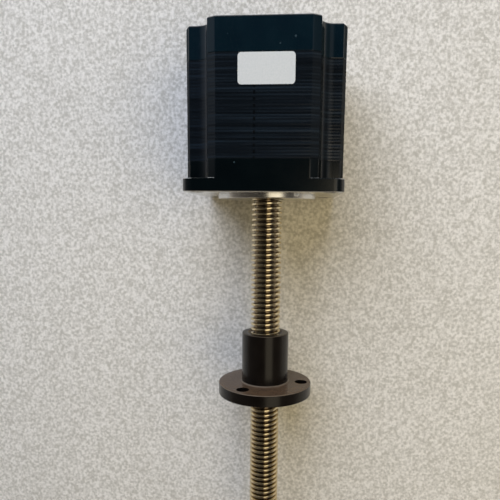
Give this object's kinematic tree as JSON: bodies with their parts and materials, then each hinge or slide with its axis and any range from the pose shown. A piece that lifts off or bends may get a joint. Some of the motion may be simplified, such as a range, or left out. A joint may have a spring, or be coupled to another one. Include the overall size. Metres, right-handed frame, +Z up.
{
  "type": "external linear stepper motor",
  "caption": "Square-framed stepper motor whose rotor shaft continues as a threaded lead screw, with a flanged nut that travels along it when the screw turns.",
  "frame": {"origin": "centre of the mounting face, on the screw axis", "axes": "+X along the lead screw, away from the motor; +Z up, with the motor lying on one side of its square frame"},
  "size_m": [0.2068, 0.0564, 0.0564],
  "materials": {
    "painted_cover": "satin black paint on die-cast aluminium, front face and pilot machined bare",
    "painted_stack": "satin black paint on electrical steel laminations",
    "connector_plastic": "natural nylon, moulded",
    "contact_metal": "tinned brass",
    "bolt_steel": "black oxide steel",
    "insulator_plastic": "black glass-filled nylon",
    "winding_wire": "enamelled copper wire",
    "screw_steel": "rolled stainless steel",
    "rotor_steel": "stamped electrical steel, ground outside",
    "magnet": "sintered magnet, nickel plated",
    "spring_steel": "hardened spring steel",
    "nut_plastic": "black self-lubricating acetal, turned",
    "bearing_steel": "ground bearing steel",
    "ball_steel": "polished bearing steel",
    "pressed_steel": "pressed steel sheet"
  },
  "bodies": {
    "motor": {"front_cover": "painted_cover", "stator_core": "painted_stack", "rear_cover": "painted_cover", "connector_header": "connector_plastic", "connector_pins": "contact_metal", "through_bolts": "bolt_steel", "front_insulator": "insulator_plastic", "rear_insulator": "insulator_plastic", "phase_a_coils": "winding_wire", "phase_b_coils": "winding_wire", "front_bearing_outer_ring": "bearing_steel", "front_bearing_shields": "pressed_steel", "rear_bearing_outer_ring": "bearing_steel", "rear_bearing_shields": "pressed_steel", "wave_washer": "spring_steel"},
    "screw_rotor": {"lead_screw": "screw_steel", "front_rotor_cup": "rotor_steel", "rear_rotor_cup": "rotor_steel", "rotor_magnet": "magnet", "front_spacer": "rotor_steel", "rear_spacer": "rotor_steel", "front_bearing_inner_ring": "bearing_steel", "rear_bearing_inner_ring": "bearing_steel"},
    "front_ball_set": {"front_bearing_balls": "ball_steel", "front_bearing_cage": "pressed_steel"},
    "rear_ball_set": {"rear_bearing_balls": "ball_steel", "rear_bearing_cage": "pressed_steel"},
    "nut": {"flanged_nut": "nut_plastic"}
  },
  "joints": [
    {"name": "screw_spin", "type": "hinge", "parent": "motor", "child": "screw_rotor", "pos_m": [0, 0, 0], "axis": [1, 0, 0], "range_deg": [-12240, 9000]},
    {"name": "front_balls_spin", "type": "hinge", "parent": "motor", "child": "front_ball_set", "pos_m": [0, 0, 0], "axis": [1, 0, 0], "range_deg": [-4600, 3400]},
    {"name": "rear_balls_spin", "type": "hinge", "parent": "motor", "child": "rear_ball_set", "pos_m": [0, 0, 0], "axis": [1, 0, 0], "range_deg": [-4600, 3400]},
    {"name": "nut_slide", "type": "slide", "parent": "motor", "child": "nut", "axis": [1, 0, 0], "range_m": [-0.0501, 0.0681]}
  ],
  "couplings": [
    {"joint": "nut_slide", "follows": "screw_spin", "m_per_rad": -0.00031831},
    {"joint": "front_balls_spin", "follows": "screw_spin", "ratio": 0.371},
    {"joint": "rear_balls_spin", "follows": "screw_spin", "ratio": 0.371}
  ]
}
